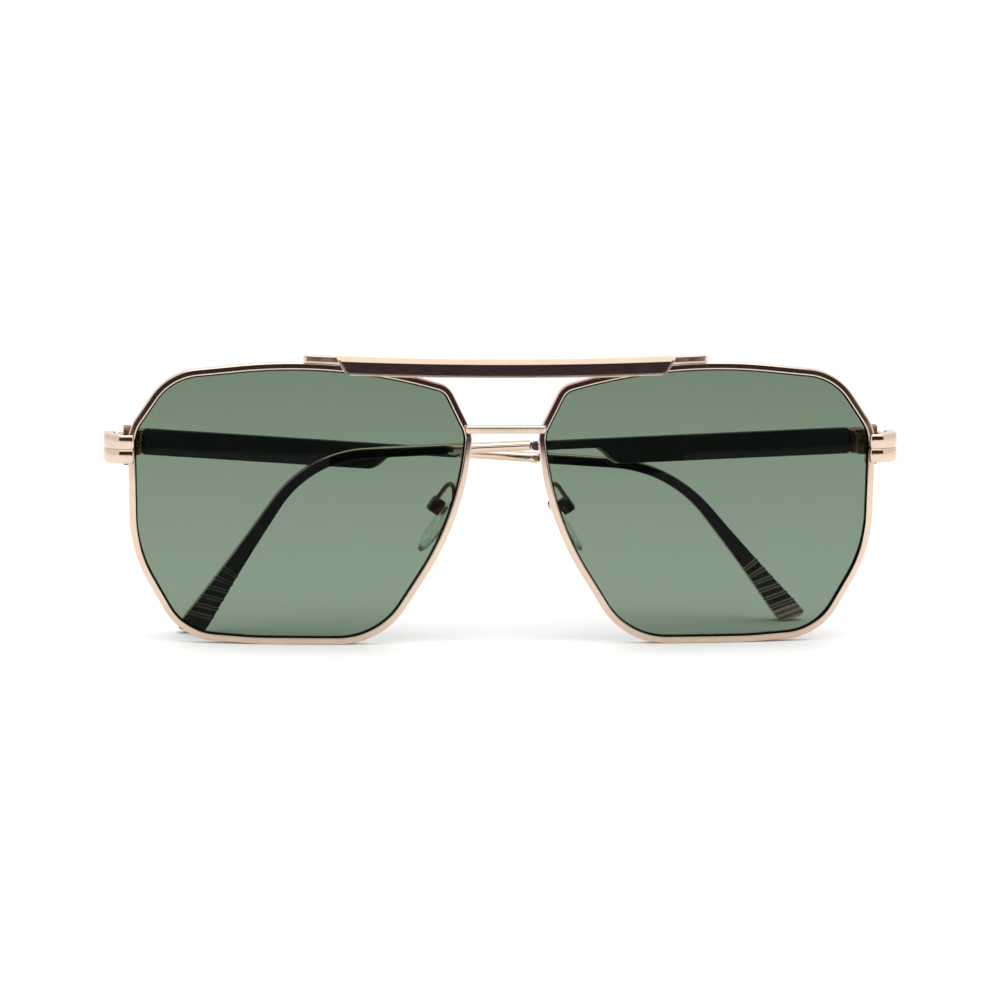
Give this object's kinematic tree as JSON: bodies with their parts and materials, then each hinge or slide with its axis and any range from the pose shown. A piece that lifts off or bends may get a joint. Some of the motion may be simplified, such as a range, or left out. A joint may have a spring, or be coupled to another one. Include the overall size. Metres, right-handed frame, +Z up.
{
  "type": "aviator sunglasses",
  "caption": "Square navigator sunglasses with a double bridge, green-grey lenses, rocking clear nose pads and folding gold temples with black linings, standing folded.",
  "frame": {"origin": "middle of the folded object's footprint, on the surface that the rims and temple tips stand on", "axes": "+X to the wearer's left along the brow, +Y back towards the wearer, +Z up"},
  "size_m": [0.145, 0.031, 0.053],
  "materials": {
    "gold_metal": "polished pale rose-gold plating",
    "dark_enamel": "glossy dark brown-black enamel",
    "black_plastic": "glossy blue-black acetate",
    "lens_tint": "polished, transparent green-grey tint",
    "clear_pad": "clear moulded"
  },
  "bodies": {
    "front": {"brow_bar": "gold_metal", "brow_plate": "gold_metal", "brow_inlay": "dark_enamel", "bridge_bar": "gold_metal", "rim_left": "gold_metal", "lens_left": "lens_tint", "endpiece_left": "gold_metal", "rim_lock_upper_left": "gold_metal", "rim_lock_lower_left": "gold_metal", "rim_screw_left": "gold_metal", "front_hinge_left": "gold_metal", "hinge_screw_left": "gold_metal", "pad_arm_left": "gold_metal", "pad_screw_left": "gold_metal", "rim_right": "gold_metal", "lens_right": "lens_tint", "endpiece_right": "gold_metal", "rim_lock_upper_right": "gold_metal", "rim_lock_lower_right": "gold_metal", "rim_screw_right": "gold_metal", "front_hinge_right": "gold_metal", "hinge_screw_right": "gold_metal", "pad_arm_right": "gold_metal", "pad_screw_right": "gold_metal"},
    "temple_left": {"temple_shell_left": "gold_metal", "temple_lining_left": "black_plastic", "temple_tip_left": "black_plastic", "temple_hinge_left": "gold_metal"},
    "temple_right": {"temple_shell_right": "gold_metal", "temple_lining_right": "black_plastic", "temple_tip_right": "black_plastic", "temple_hinge_right": "gold_metal"},
    "pad_left": {"nose_pad_left": "clear_pad", "pad_insert_left": "gold_metal"},
    "pad_right": {"nose_pad_right": "clear_pad", "pad_insert_right": "gold_metal"}
  },
  "joints": [
    {"name": "temple_left_hinge", "type": "hinge", "parent": "front", "child": "temple_left", "pos_m": [0.0664, -0.0029, 0.0355], "axis": [0.0436, 0, -0.999], "range_deg": [0, 90]},
    {"name": "temple_right_hinge", "type": "hinge", "parent": "front", "child": "temple_right", "pos_m": [-0.0664, -0.0029, 0.0355], "axis": [0.0785, 0, 0.9969], "range_deg": [0, 84.5]},
    {"name": "pad_left_rock", "type": "hinge", "parent": "front", "child": "pad_left", "pos_m": [0.01155, -0.0064, 0.0243], "axis": [0.0998, 0.9925, 0.0699], "range_deg": [-12, 12]},
    {"name": "pad_right_rock", "type": "hinge", "parent": "front", "child": "pad_right", "pos_m": [-0.01155, -0.0064, 0.0243], "axis": [-0.0998, 0.9925, 0.0699], "range_deg": [-12, 12]}
  ]
}
